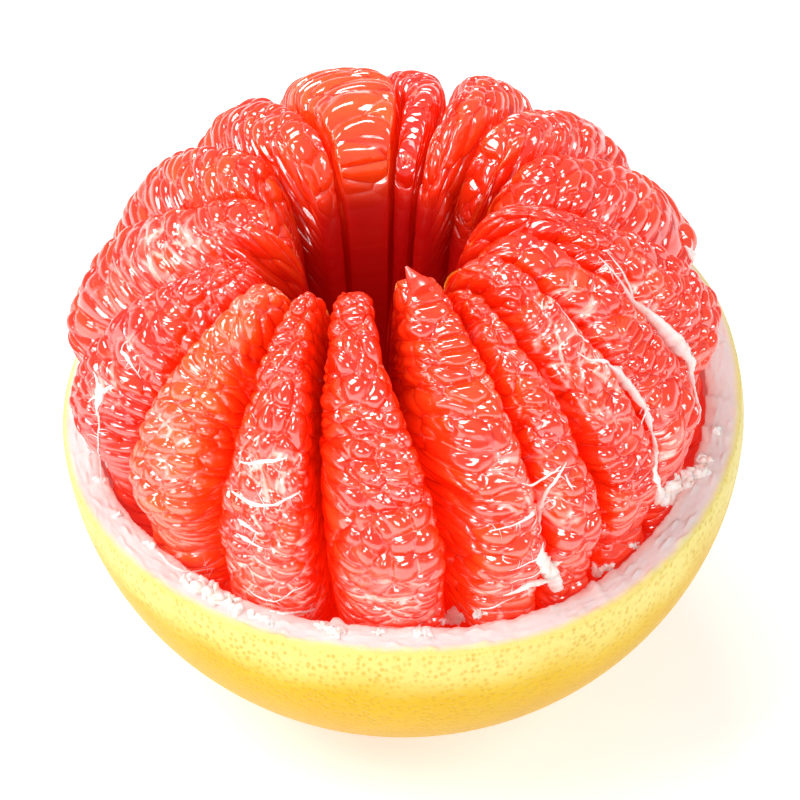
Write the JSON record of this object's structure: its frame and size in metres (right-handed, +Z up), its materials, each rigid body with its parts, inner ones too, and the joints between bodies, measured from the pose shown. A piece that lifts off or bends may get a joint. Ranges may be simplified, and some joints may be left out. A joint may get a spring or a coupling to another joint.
{
  "type": "peeled pomelo",
  "caption": "Red pomelo with its upper peel taken off, its skinned segments standing open round the empty core in the bowl of the lower peel, resting on a small flat spot.",
  "frame": {"origin": "middle of the small flat spot that the peel rests on, straight under the fruit's axis", "axes": "+Z up along the fruit's axis, -Y to the front, where the rim of the peel is low, and +X to the right seen from the front"},
  "size_m": [0.1558, 0.156, 0.146],
  "materials": {
    "peel": "waxy yellow rind, dimpled with oil glands, over matt white pith",
    "flesh": "wet, translucent red juice sacs with paler skins"
  },
  "bodies": {
    "root": {"peel": "peel", "segment_01": "flesh", "segment_02": "flesh", "segment_03": "flesh", "segment_04": "flesh", "segment_05": "flesh", "segment_06": "flesh", "segment_07": "flesh", "segment_08": "flesh", "segment_09": "flesh", "segment_10": "flesh", "segment_11": "flesh", "segment_12": "flesh", "segment_13": "flesh", "segment_14": "flesh", "segment_15": "flesh", "segment_16": "flesh", "segment_17": "flesh"}
  },
  "joints": []
}
